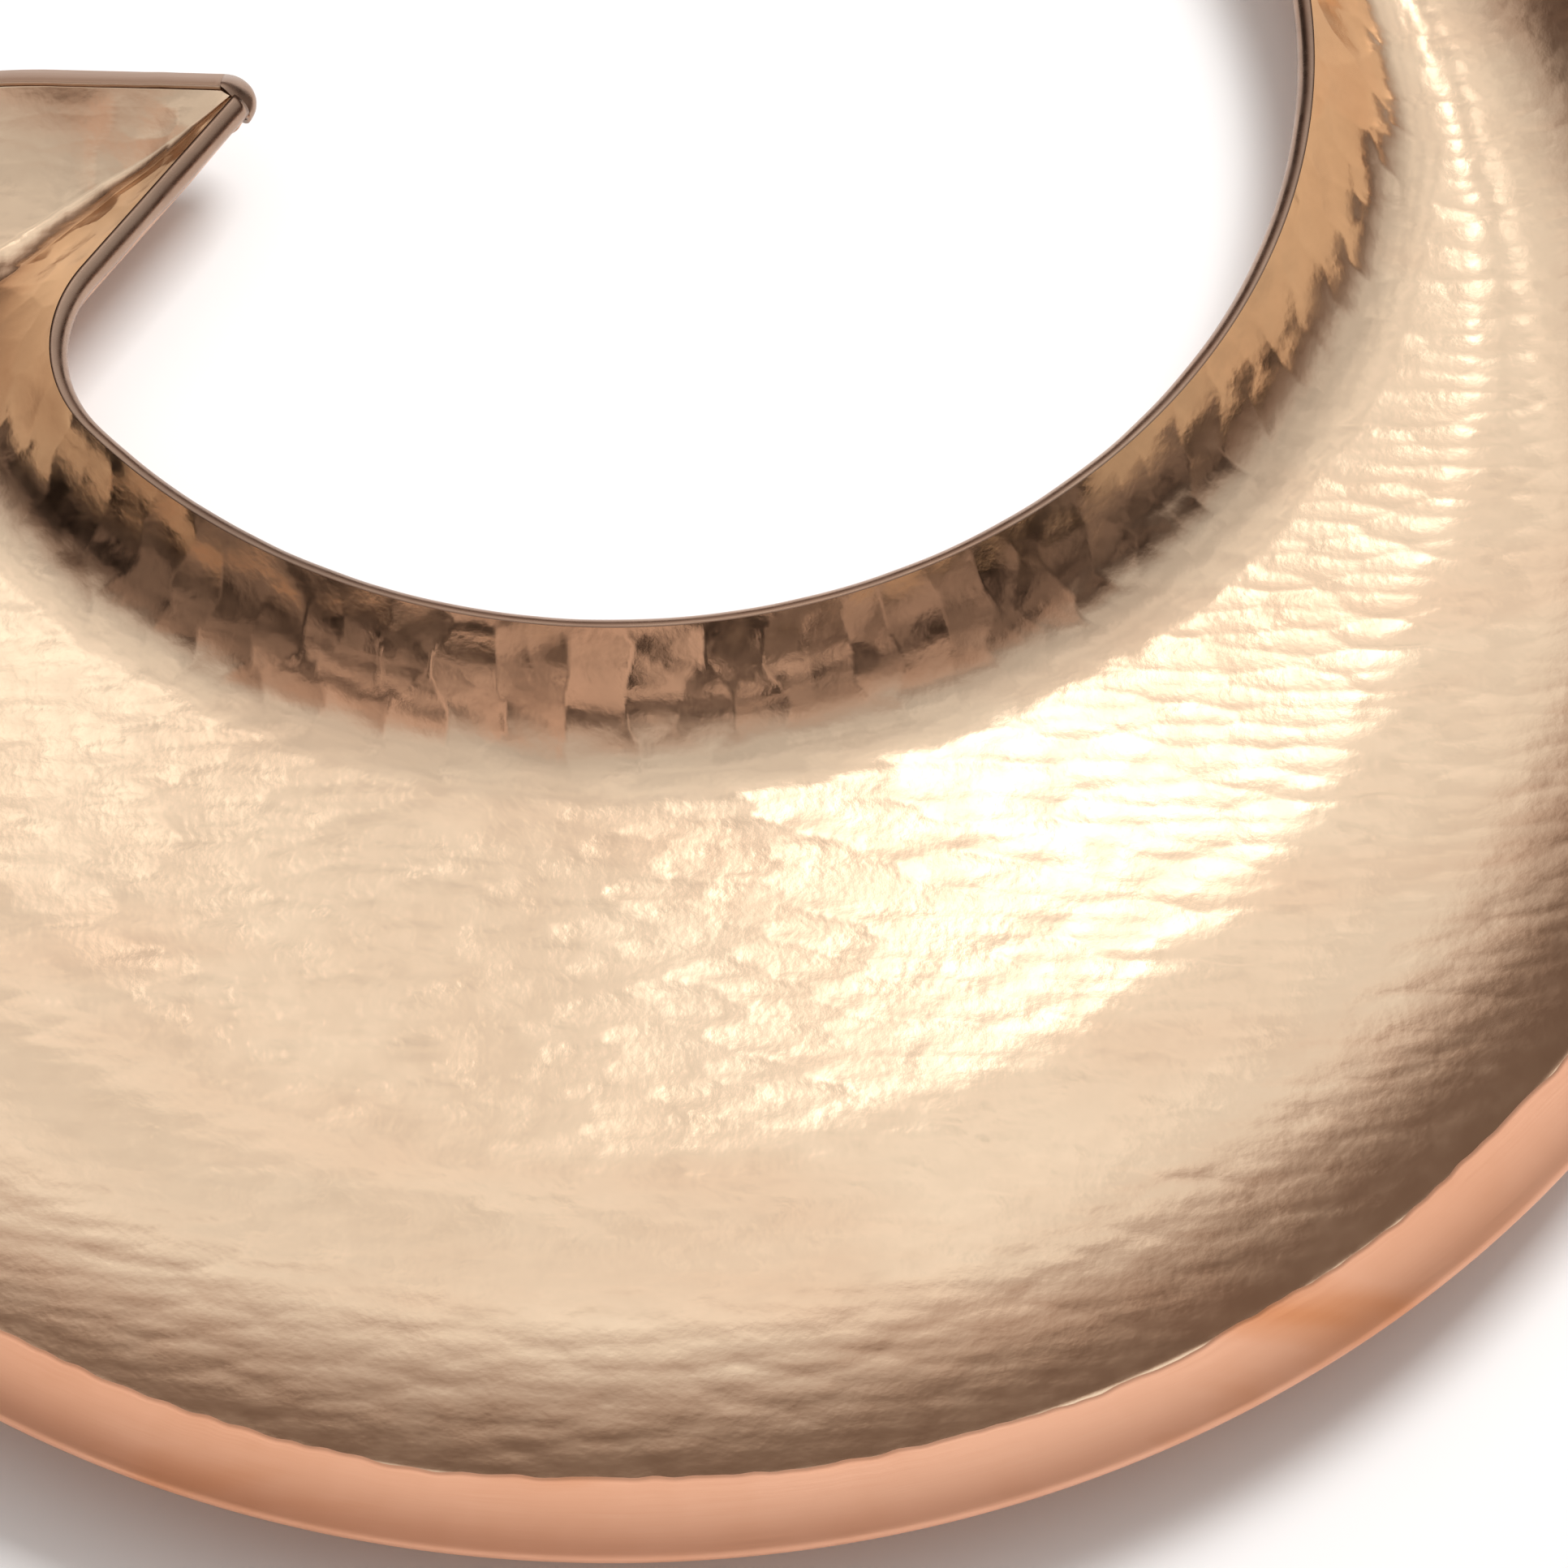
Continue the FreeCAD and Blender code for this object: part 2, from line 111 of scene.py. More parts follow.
# edges from the horn tip to the arm tip; every normal points away from its arc's centre
outerPath = [
    ("line", polar(browNormal, plan["tipRadius"], hornTip),
     polar(browNormal, shoulderRadius, shoulder), browNormal),
    ("arc", shoulder, shoulderRadius, browNormal, plan["shoulderAngle"]),
    ("arc", belly, plan["bellyRadius"], plan["shoulderAngle"], bellyEnd),
]
innerPath = [
    ("line", polar(cheekNormal + 180.0, plan["tipRadius"], hornTip),
     polar(cheekNormal, plan["elbowRadius"], elbow), cheekNormal),
    ("arc", elbow, plan["elbowRadius"], cheekNormal, plan["elbowAngle"]),
    ("arc", mouth, plan["mouthRadius"], plan["elbowAngle"], mouthEnd),
]
hornArc = ("arc", hornTip, plan["tipRadius"], cheekNormal - 180.0, browNormal)
armArc = ("arc", armTip, plan["tipRadius"], bellyEnd, mouthEnd + 180.0)
# the row's origin is the middle of the plan box
planShift = (-0.5 * (plan["bellyRadius"] + shoulder[0] - shoulderRadius),
             0.5 * (plan["bellyRadius"] - armTip[1] - plan["tipRadius"]))


def pathLength(segment):
    if segment[0] == "line":
        return apart(segment[1], segment[2])
    return segment[2] * math.radians(segment[4] - segment[3])


def spot(segment, share):
    if segment[0] == "line":
        start, end = segment[1], segment[2]
        point = (start[0] + (end[0] - start[0]) * share, start[1] + (end[1] - start[1]) * share)
        return point, segment[3]
    angle = segment[3] + (segment[4] - segment[3]) * share
    return polar(angle, segment[2], segment[1]), angle


def hit(point, angle, path):
    # nearest crossing of a ray with a path: distance, place, and the path's normal there
    ray = polar(angle)
    found = None
    for segment in path:
        hits = []
        if segment[0] == "line":
            normal = polar(segment[3])
            facing = ray[0] * normal[0] + ray[1] * normal[1]
            if abs(facing) < 1e-6:
                continue
            start, end = segment[1], segment[2]
            reach = ((start[0] - point[0]) * normal[0] + (start[1] - point[1]) * normal[1]) / facing
            met = (point[0] + ray[0] * reach, point[1] + ray[1] * reach)
            share = ((met[0] - start[0]) * (end[0] - start[0])
                     + (met[1] - start[1]) * (end[1] - start[1])) / apart(start, end) ** 2
            if -0.02 <= share <= 1.001:
                hits.append((reach, met, segment[3]))
        else:
            centre, radius = segment[1], segment[2]
            offset = (point[0] - centre[0], point[1] - centre[1])
            half = offset[0] * ray[0] + offset[1] * ray[1]
            inside = half ** 2 - offset[0] ** 2 - offset[1] ** 2 + radius ** 2
            if inside > 0.0:
                for reach in (-half - math.sqrt(inside), -half + math.sqrt(inside)):
                    met = (point[0] + ray[0] * reach, point[1] + ray[1] * reach)
                    metAngle = heading(centre, met) % 360.0
                    for turn in (metAngle, metAngle + 360.0):
                        if segment[3] - 0.8 <= turn <= segment[4] + 2.0:
                            hits.append((reach, met, turn))
        for one in hits:
            if one[0] > 0.5 and (found is None or one[0] < found[0]):
                found = one
    return found


# widths in mm, edge to crest
lips = {"belly": 9.3, "brow": 5.0, "bead": 2.4, "beadDrop": 2.5, "beadTurn": 140.0, "beadNeck": 0.25,
        "beadTop": 1.0}


def outerLip(index, share):
    if index < 2:
        return lips["brow"]
    return between([(0.0, lips["brow"]), (0.15, lips["belly"]), (0.75, lips["belly"]),
                    (1.0, plan["tipRadius"])], share)


def outerLipAt(met):
    if abs(apart(belly, met) - plan["bellyRadius"]) > 0.01:
        return lips["brow"]
    angle = heading(belly, met) % 360.0
    if angle < bellyEnd - 359.0:
        angle += 360.0
    return outerLip(2, (angle - plan["shoulderAngle"]) / (bellyEnd - plan["shoulderAngle"]))


def lipSection(width, steps):
    # outside and underside of the lip as (distance from the edge, height)
    size = min(1.0, width / lips["brow"])
    radius = section["rollRadius"] * size
    rim = section["rimHeight"]
    roll = (radius, rim - section["lipDrop"] * size)
    corner = (radius * (1.0 - math.sqrt(0.5)), roll[1] + radius * math.sqrt(0.5))
    bend = (corner[0] + rim - corner[1], rim)
    outside, inside = [], []
    for step in range(steps):
        s = step / steps
        x = (1 - s) ** 2 * width + 2 * s * (1 - s) * bend[0] + s ** 2 * corner[0]
        z = (1 - s) ** 2 * rim + 2 * s * (1 - s) * bend[1] + s ** 2 * corner[1]
        dx = 2 * (1 - s) * (bend[0] - width) + 2 * s * (corner[0] - bend[0])
        dz = 2 * s * (corner[1] - bend[1])
        length = math.hypot(dx, dz)
        outside.append((x, z))
        inside.append((x - dz / length * section["lipSheet"], z + dx / length * section["lipSheet"]))
    for step in range(steps + 1):
        angle = 135.0 + (45.0 + section["rollTurn"]) * step / steps
        outside.append(polar(angle, radius, roll))
        inside.append(polar(angle, radius - section["lipSheet"], roll))
    return outside, inside


def stations(counts):
    # pairs of edge points across the bowl, from the horn tip to the arm tip
    hornStart = heading(innerPath[0][1], outerPath[0][1])
    result = []
    for index, segment in enumerate(innerPath):
        for place in range(counts[index] + (1 if index == 2 else 0)):
            share = place / counts[index]
            point, normal = spot(segment, share)
            aim = normal
            if index == 0:
                aim = hornStart + (normal - hornStart) * ease(share)
            reach, met, outerNormal = hit(point, aim, outerPath)
            result.append((point, normal, met, outerNormal, outerLipAt(met)))
    return result


def toFrame(x, y, z):
    return Vector(((x + planShift[0]) * mm, (y + planShift[1]) * mm, z * mm))


def newPiece(name, mesh, replaced):
    piece = bpy.data.objects.new(name, mesh)
    bpy.context.scene.collection.objects.link(piece)
    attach(piece, "root")
    if replaced:
        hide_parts(*replaced)
    return piece


def shapedGrid(name, points, marks, replaced, closed=False):
    # a flat grid whose vertices move to the given rows of points
    rows, columns = points.shape[:2]
    bm = bmesh.new()
    bmesh.ops.create_grid(bm, x_segments=rows - 1, y_segments=columns - 1, size=1.0)
    uvLayer = bm.loops.layers.uv.new("along")
    place = {}
    for vert in bm.verts:
        i = round((vert.co.x + 1.0) * 0.5 * (rows - 1))
        j = round((vert.co.y + 1.0) * 0.5 * (columns - 1))
        place[vert.index] = (i, j)
    for face in bm.faces:
        face.smooth = True
        for loop in face.loops:
            i, j = place[loop.vert.index]
            loop[uvLayer].uv = marks[i, j]
    for vert in bm.verts:
        i, j = place[vert.index]
        vert.co = toFrame(*points[i, j])
    if closed:
        bmesh.ops.remove_doubles(bm, verts=bm.verts, dist=2e-6)
        ends = [edge for edge in bm.edges if edge.is_boundary]
        if ends:
            bmesh.ops.holes_fill(bm, edges=ends, sides=0)
        bmesh.ops.recalc_face_normals(bm, faces=bm.faces)
    mesh = bpy.data.meshes.new(name)
    bm.to_mesh(mesh)
    bm.free()
    return newPiece(name, mesh, replaced)


# hammered dish: polished sheet with planished dents; the horn's own values take over towards its tip
dish = {
    "depth": 14.5, "sag": 2.0, "mouthRun": 20.0, "bellyRun": 58.0, "mouthPower": 2.2,
    "bellyPower": 1.9, "hornMouthPower": 1.35, "hornBrowPower": 1.05, "reach": 30.0,
    "fillPower": 1.2, "mouthShare": 0.38, "bellyShare": 0.6, "hornGain": 0.14, "hornEase": 0.8,
    "tuckShare": 0.2, "tuckFall": (1.7, 0.12), "steps": (70, 170, 960), "across": 150, "least": 0.4,
    "rowStep": 0.0009, "parts": ("Left", "Front", "Right"),
}
# floor: long shallow marks in rows; wall: rounder, deeper marks and slow waves below the mouth edge
dents = {
    "floorPitch": 13.0, "floorRow": 3.1, "floorCurve": 0.0040, "floorLift": 0.006,
    "wallPitch": 7.5, "wallRow": 6.5, "wallCurve": 0.017, "wallLift": 0.07,
    "wallReach": 20.0, "wallFade": 0.8, "wave": 0.5, "waveLength": 13.0, "spread": 0.4, "fade": 3.0,
    "innerFade": 1.2, "fullWidth": 16.0, "floorRest": 0.04, "wallRest": 0.08, "floorOnWall": 0.5,
    "jitter": (0.24, 0.17), "rowSqueeze": 0.87, "neighbours": 4, "seed": 11,
}


def dishHeight(place, width, horn):
    fullness = 1.0 - math.exp(-(width / dish["reach"]) ** dish["fillPower"])
    mouthRun = min(dish["mouthRun"], dish["mouthShare"] * width)
    bellyRun = min(dish["bellyRun"], (dish["bellyShare"] + dish["hornGain"] * horn) * width)
    mouthPower = dish["mouthPower"] + (dish["hornMouthPower"] - dish["mouthPower"]) * horn
    bellyPower = dish["bellyPower"] + (dish["hornBrowPower"] - dish["bellyPower"]) * horn
    rise = np.clip(1.0 - place / mouthRun, 0.0, None) ** mouthPower
    rise = rise + np.clip(1.0 - (width - place) / bellyRun, 0.0, None) ** bellyPower
    share = place / width
    fall = dish["depth"] * (1.0 - rise) + dish["sag"] * 4.0 * share * (1.0 - share)
    return section["rimHeight"] - (section["lipSheet"] + section["seam"]) * share - fullness * fall


def dentField(pitch, rowPitch, curve, lift, seed):
    # seeded hammer marks in loose rows; neighbouring marks meet along a crease
    random.seed(seed)
    stretch = pitch / rowPitch * dents["rowSqueeze"]
    marks = []
    y = -plan["bellyRadius"]
    row = 0
    while y < plan["bellyRadius"]:
        x = -plan["bellyRadius"] + (row % 2) * pitch * 0.5
        while x < plan["bellyRadius"]:
            marks.append((x + random.gauss(0, dents["jitter"][0]) * pitch,
                          y + random.gauss(0, dents["jitter"][1]) * rowPitch))
            x += pitch
        y += rowPitch
        row += 1
    tree = kdtree.KDTree(len(marks))
    curves = []
    for index, (x, y) in enumerate(marks):
        tree.insert((x, y * stretch, 0.0), index)
        curves.append((curve / stretch * (1.0 + random.uniform(-1, 1) * dents["spread"]),
                       random.uniform(0, lift)))
    tree.balance()
    return tree, curves, stretch


def dentHeight(field, x, y):
    tree, curves, stretch = field
    found = tree.find_n((x, y * stretch, 0.0), dents["neighbours"])
    return min(curves[index][0] * reach * reach + curves[index][1] for _, index, reach in found)


def makeDish():
    floorField = dentField(dents["floorPitch"], dents["floorRow"], dents["floorCurve"], dents["floorLift"],
                           dents["seed"])
    wallField = dentField(dents["wallPitch"], dents["wallRow"], dents["wallCurve"], dents["wallLift"],
                          dents["seed"] + 1)
    rows, marks = [], []
    shares = (np.arange(dish["across"] + 1) / dish["across"])
    for index, pair in enumerate(stations(dish["steps"])):
        inner, innerNormal, outer, outerNormal, outerWidth = pair
        horn = 1.0 - ease((index / dish["hornEase"] - dish["steps"][0]) / dish["steps"][1])
        start = polar(innerNormal, lips["bead"], inner)
        end = polar(outerNormal, -outerWidth, outer)
        width = apart(start, end)
        if width < dish["least"]:
            continue
        aim = heading(start, end)
        ray = polar(aim)
        after = dish["tuckShare"] * outerWidth
        place = (width + after) * shares
        clipped = np.clip(place, 0.0, width)
        height = dishHeight(clipped, width, horn)
        # under the lip it follows its fall
        past = place - width
        share = np.clip(past / max(outerWidth - 3.0, 1.0), 0.0, 1.0)
        fall = dish["tuckFall"][0] * share ** 2 + dish["tuckFall"][1] * share
        height = height - np.where(past > 0.0, fall, 0.0)
        outFade = np.clip((width - clipped) / dents["fade"], 0.0, 1.0)
        inFade = np.clip(clipped / dents["innerFade"], 0.0, 1.0)
        wallShare = np.clip(1.0 - clipped / dents["wallReach"], 0.0, 1.0) ** dents["wallFade"]
        small = min(1.0, width / dents["fullWidth"])
        row = []
        for column in range(len(place)):
            x = start[0] + ray[0] * place[column]
            y = start[1] + ray[1] * place[column]
            bump = dentHeight(floorField, x, y) - dents["floorRest"]
            bump *= 1.0 - dents["floorOnWall"] * wallShare[column]
            if wallShare[column] > 0.0:
                slow = noise.noise((x / dents["waveLength"], y / dents["waveLength"], 4.4))
                deep = dentHeight(wallField, x, y) - dents["wallRest"]
                bump += wallShare[column] * (deep + dents["wave"] * slow)
            row.append((x, y, height[column] + bump * outFade[column] * inFade[column] * small))
        rows.append(row)
        marks.append([(len(rows) * dish["rowStep"], p * mm) for p in place])
    points = np.array(rows)
    uvs = np.array(marks)
    alongStep = np.gradient(points, axis=0)
    acrossStep = np.gradient(points, axis=1)
    normals = np.cross(alongStep, acrossStep)
    normals /= np.maximum(np.linalg.norm(normals, axis=2, keepdims=True), 1e-9)
    normals *= np.where(normals[:, :, 2:3] < 0.0, -1.0, 1.0)
    cuts = np.linspace(0, len(rows) - 1, len(dish["parts"]) + 1).astype(int)
    made = []
    for number, part in enumerate(dish["parts"]):
        low, high = cuts[number], cuts[number + 1] + 1
        name = "hammeredDish" + part
        piece = shapedGrid(name, points[low:high], uvs[low:high], ["hammered_dish"])
        finishDish(piece, points[low:high], normals[low:high])
        made.append(piece)
        print(name, "made,", len(piece.data.polygons), "faces")
    return made


def finishDish(piece, points, normals):
    # upward faces, and normals shared across the joins
    bm = bmesh.new()
    bm.from_mesh(piece.data)
    bm.normal_update()
    if sum(face.normal.z for face in bm.faces) < 0.0:
        bmesh.ops.reverse_faces(bm, faces=bm.faces)
    bm.to_mesh(piece.data)
    bm.free()
    lookup = kdtree.KDTree(points.shape[0] * points.shape[1])
    flatPoints = points.reshape(-1, 3)
    flatNormals = normals.reshape(-1, 3)
    for index, point in enumerate(flatPoints):
        lookup.insert(toFrame(*point), index)
    lookup.balance()
    custom = []
    for vert in piece.data.vertices:
        custom.append(Vector(flatNormals[lookup.find(vert.co)[1]]))
    piece.data.normals_split_custom_set_from_vertices(custom)


# satin lip rolled round a wire, and the bead on the mouth side; a wandering inner edge
lip = {"step": 1.0, "sectionSteps": 12, "beadSteps": 12, "wave": 1.0, "waveLength": 27.0, "ragged": 0.42,
       "raggedLength": 3.5, "calmRun": 12.0, "browShare": 0.3, "ripple": 0.12, "rippleLength": 7.0,
       "neckDrop": 0.8, "tipSteps": 30, "tipStep": 0.0004}


def edgeWander(length):
    slow = noise.noise((length / lip["waveLength"], 3.7, 0.3))
    quick = noise.noise((length / lip["raggedLength"], 3.7, 7.1))
    return lip["wave"] * slow + lip["ragged"] * quick


def sweepLoop(name, path, loopAt, side, replaced):
    # a closed section carried along an edge
    rows, marks = [], []
    total = sum(pathLength(segment) for segment in path)
    run = 0.0
    for index, segment in enumerate(path):
        length = pathLength(segment)
        count = max(4, round(length / lip["step"]))
        for place in range(count + (1 if index == len(path) - 1 else 0)):
            share = place / count
            point, normal = spot(segment, share)
            distance = run + length * share
            loop = loopAt(index, share, distance, total)
            rows.append([polar(normal, side * x, point) + (z,) for x, z in loop])
            marks.append([(distance * mm, j / (len(loop) - 1)) for j in range(len(loop))])
        run += length
    piece = shapedGrid(name, np.array(rows), np.array(marks), replaced, closed=True)
    print(name, "made,", len(piece.data.polygons), "faces")
    return piece


def calmEnds(distance, total):
    return ease(min(distance, total - distance) / lip["calmRun"])


def lipLoop(index, share, distance, total):
    calm = calmEnds(distance, total) * (lip["browShare"] if index < 2 else 1.0)
    width = outerLip(index, share) + calm * edgeWander(distance)
    outside, inside = lipSection(width, lip["sectionSteps"])
    return outside + inside[::-1] + outside[:1]


def beadLoop(index, share, distance, total):
    outside, inside = [], []
    ripple = lip["ripple"] * noise.noise((distance / lip["rippleLength"], 2.2, 5.5))
    ripple *= calmEnds(distance, total)
    for step in range(lip["beadSteps"] + 1):
        turn = math.radians(lips["beadTurn"] * step / lip["beadSteps"])
        out = lips["bead"] * math.sin(turn)
        drop = lips["beadDrop"] * (1.0 - math.cos(turn))
        outside.append((lips["bead"] - out, section["rimHeight"] - drop * (1.0 + ripple)))
        inside.append((lips["bead"] - lips["beadNeck"] * out,
                       section["rimHeight"] - lips["beadTop"] - lip["neckDrop"] * drop))
    return outside + inside[::-1] + outside[:1]


def makeTip(name, arc, replaced):
    rows, marks = [], []
    for place in range(lip["tipSteps"] + 1):
        point, normal = spot(arc, place / lip["tipSteps"])
        outside, inside = lipSection(plan["tipRadius"], lip["sectionSteps"])
        loop = outside + inside[::-1] + outside[:1]
        rows.append([polar(normal, -x, point) + (z,) for x, z in loop])
        marks.append([(place * lip["tipStep"], j / (len(loop) - 1)) for j in range(len(loop))])
    return shapedGrid(name, np.array(rows), np.array(marks), replaced, closed=True)


# smooth side walls from under the lip to the base
wall = {
    "tuck": 4.3, "inset": 11.0, "bulge": 1.6, "top": 16.1, "topGain": 0.42, "rollFloor": 13.35,
    "keelGap": 1.25, "beadTuck": 1.2, "beadTop": 15.2, "step": 1.5, "rows": 12,
    "openRoom": 200.0, "leastFacing": 0.2,
}


def bellyHead(foot, lipWidth):
    full = wall["top"] + wall["topGain"] * max(0.0, lipWidth - lips["brow"])
    narrow = 2.0 * wall["tuck"]
    height = between([(narrow, wall["rollFloor"]), (wall["inset"], full)], max(narrow, foot))
    return min(wall["tuck"], 0.5 * foot), height


def mouthHead(foot, lipWidth):
    return wall["beadTuck"], wall["beadTop"]


def wallSection(foot, head, top):
    drop = (top - section["baseSheet"] - section["seam"]) * foot / wall["inset"]
    outside, inside = [], []
    for step in range(wall["rows"] + 1):
        share = step / wall["rows"]
        x = head + (foot - head) * share ** wall["bulge"]
        z = top - drop * share
        run = (foot - head) * wall["bulge"] * share ** (wall["bulge"] - 1.0)
        length = math.hypot(run, drop)
        outside.append((x, z))
        inside.append((x + drop / length * section["wallSheet"], z + run / length * section["wallSheet"]))
    return outside, inside


def wallRows(segment, side, headAt, widthAt, opposite, run):
    rows, marks = [], []
    length = pathLength(segment)
    count = max(6, round(length / wall["step"]))
    for place in range(count):
        share = place / count
        point, normal = spot(segment, share)
        half = plan["tipRadius"]
        if opposite:
            found = hit(point, normal if side > 0 else normal + 180.0, opposite)
            half = wall["openRoom"]
            if found:
                facing = max(wall["leastFacing"], abs(math.cos(math.radians(found[2] - normal))))
                half = found[0] * facing / (1.0 + facing)
        foot = min(wall["inset"], half - wall["keelGap"])
        head, top = headAt(foot, widthAt(share))
        outside, inside = wallSection(foot, head, top)
        loop = outside + inside[::-1] + outside[:1]
        rows.append([polar(normal, side * x, point) + (z,) for x, z in loop])
        marks.append([((run + length * share) * mm, j / (len(loop) - 1)) for j in range(len(loop))])
    return rows, marks, run + length


def makeWalls():
    rows, marks, run = wallRows(hornArc, -1.0, bellyHead, lambda share: lips["brow"], None, 0.0)
    for index, segment in enumerate(outerPath):
        more = wallRows(segment, -1.0, bellyHead, lambda share, index=index: outerLip(index, share),
                        innerPath, run)
        rows, marks, run = rows + more[0], marks + more[1], more[2]
    more = wallRows(armArc, -1.0, bellyHead, lambda share: lips["brow"], None, run)
    rows, marks = rows + more[0], marks + more[1]
    outer = shapedGrid("bellySideWall", np.array(rows), np.array(marks),
                       ["belly_side_wall"], closed=True)
    rows, marks, run = [], [], 0.0
    for segment in innerPath:
        more = wallRows(segment, 1.0, mouthHead, lambda share: lips["bead"], outerPath, run)
        rows, marks, run = rows + more[0], marks + more[1], more[2]
    inner = shapedGrid("mouthSideWall", np.array(rows[1:]), np.array(marks[1:]),
                       ["mouth_side_wall"], closed=True)
    print("walls made")
    return [outer, inner]


dishPieces = makeDish()
lipPiece = sweepLoop("bellyLip", outerPath, lipLoop, -1.0, ["belly_lip"])
edgePieces = [
    sweepLoop("mouthEdgeBead", innerPath, beadLoop, 1.0, ["mouth_edge_bead"]),
    makeTip("hornTipCap", hornArc, ["horn_tip_cap"]),
    makeTip("armTipCap", armArc, ["arm_tip_cap"]),
]
wallPieces = makeWalls()


def group(name, inputs, outputs):
    tree = bpy.data.node_groups.new(name, "ShaderNodeTree")
    for label, kind, value in inputs:
        socket = tree.interface.new_socket(name=label, in_out="INPUT", socket_type=kind)
        socket.default_value = value
    for label, kind in outputs:
        tree.interface.new_socket(name=label, in_out="OUTPUT", socket_type=kind)
    return tree, tree.nodes.new("NodeGroupInput"), tree.nodes.new("NodeGroupOutput")


def node(tree, kind, inputs=None, **settings):
    made = tree.nodes.new(kind)
    for key, value in settings.items():
        setattr(made, key, value)
    for key, value in (inputs or {}).items():
        if isinstance(value, bpy.types.NodeSocket):
            tree.links.new(value, made.inputs[key])
        else:
            made.inputs[key].default_value = value
    return made


def tarnishGroup():
    # cloudy copper colour: light and dark tones, with redder streaks
    tree, inn, out = group("copperTone", [
        ("Light", "NodeSocketColor", (0.9, 0.7, 0.55, 1)), ("Dark", "NodeSocketColor", (0.7, 0.45, 0.3, 1)),
        ("Red", "NodeSocketColor", (0.75, 0.4, 0.22, 1)), ("Scale", "NodeSocketFloat", 20.0),
        ("Red Amount", "NodeSocketFloat", 0.3)],
        [("Color", "NodeSocketColor")])
    coord = node(tree, "ShaderNodeTexCoord")
    cloud = node(tree, "ShaderNodeTexNoise", {
        "Vector": coord.outputs["Object"], "Scale": inn.outputs["Scale"], "Detail": 5.0, "Roughness": 0.6})
    tone = node(tree, "ShaderNodeMapRange", {"Value": cloud.outputs["Fac"], "From Min": 0.35, "From Max": 0.65})
    base = node(tree, "ShaderNodeMix", {"Factor": tone.outputs["Result"], "A": inn.outputs["Dark"],
                                        "B": inn.outputs["Light"]}, data_type="RGBA")
    stretched = node(tree, "ShaderNodeMapping", {"Vector": coord.outputs["Object"], "Rotation": (0, 0, 0.35),
                                                 "Scale": (0.35, 1.6, 1.0)})
    streak = node(tree, "ShaderNodeTexNoise", {
        "Vector": stretched.outputs["Vector"], "Scale": 34.0, "Detail": 3.0})
    band = node(tree, "ShaderNodeMapRange", {
        "Value": streak.outputs["Fac"], "From Min": 0.52, "From Max": 0.72})
    amount = node(tree, "ShaderNodeMath", {0: band.outputs["Result"], 1: inn.outputs["Red Amount"]},
                  operation="MULTIPLY")
    final = node(tree, "ShaderNodeMix", {"Factor": amount.outputs["Value"], "B": inn.outputs["Red"]},
                 data_type="RGBA")
    tree.links.new(base.outputs[2], final.inputs[6])
    tree.links.new(final.outputs[2], out.inputs["Color"])
    return tree


def setMix(mix, color, side=7):
    # sockets 6 and 7 are a colour mix's first and second colours
    mix.inputs[side].default_value = color


toneGroup = tarnishGroup()
print("groups made")


def addTone(tree, values):
    made = tree.nodes.new("ShaderNodeGroup")
    made.node_tree = toneGroup
    for key, value in values.items():
        made.inputs[key].default_value = value
    return made


def newMaterial(name):
    material = bpy.data.materials.new(name)
    material.use_nodes = True
    return material, material.node_tree, material.node_tree.nodes["Principled BSDF"]


hammered = {
    "light": (0.94, 0.72, 0.52, 1), "dark": (0.88, 0.65, 0.46, 1), "red": (0.84, 0.52, 0.34, 1),
    "roughLow": 0.12, "roughHigh": 0.2, "grainScale": 900.0, "grainHeight": 0.00002,
    "waveScale": 210.0, "waveHeight": 0.00006, "cloudScale": 26.0, "streaks": 0.25,
}


def hammeredCopper():
    material, tree, shader = newMaterial("hammeredCopper")
    tone = addTone(tree, {"Light": hammered["light"], "Dark": hammered["dark"], "Red": hammered["red"],
                          "Scale": hammered["cloudScale"], "Red Amount": hammered["streaks"]})
    coord = node(tree, "ShaderNodeTexCoord")
    grain = node(tree, "ShaderNodeTexNoise", {
        "Vector": coord.outputs["Object"], "Scale": hammered["grainScale"], "Detail": 4.0})
    wave = node(tree, "ShaderNodeTexNoise", {
        "Vector": coord.outputs["Object"], "Scale": hammered["waveScale"], "Detail": 2.0})
    rough = node(tree, "ShaderNodeMapRange", {"Value": wave.outputs["Fac"], "From Min": 0.3, "From Max": 0.7,
                                              "To Min": hammered["roughLow"], "To Max": hammered["roughHigh"]})
    waveBump = node(tree, "ShaderNodeBump", {"Height": wave.outputs["Fac"], "Strength": 1.0,
                                             "Distance": hammered["waveHeight"]})
    grainBump = node(tree, "ShaderNodeBump", {"Height": grain.outputs["Fac"], "Strength": 1.0,
                                              "Distance": hammered["grainHeight"],
                                              "Normal": waveBump.outputs["Normal"]})
    tree.links.new(tone.outputs["Color"], shader.inputs["Base Color"])
    tree.links.new(rough.outputs["Result"], shader.inputs["Roughness"])
    tree.links.new(grainBump.outputs["Normal"], shader.inputs["Normal"])
    shader.inputs["Metallic"].default_value = 1.0
    return material


# the dark colour for the lip's horn stretch is a painted dark reflection
smooth = {
    "light": (0.95, 0.52, 0.34, 1), "dark": (0.84, 0.42, 0.25, 1), "red": (0.74, 0.27, 0.09, 1),
    # the edge colour is a painted highlight along the lip's inner crest
    "metal": 0.62, "hornDarkReflection": (0.42, 0.27, 0.19, 1), "edge": (1.0, 0.82, 0.66, 1),
    "roughLow": 0.38, "roughHigh": 0.55, "cloudScale": 18.0, "streaks": 0.85,
    "brush": (30.0, 90.0, 1.0), "highlightStart": 0.978, "highlightEnd": 0.985, "hornEnd": (0.08, 0.11),
}


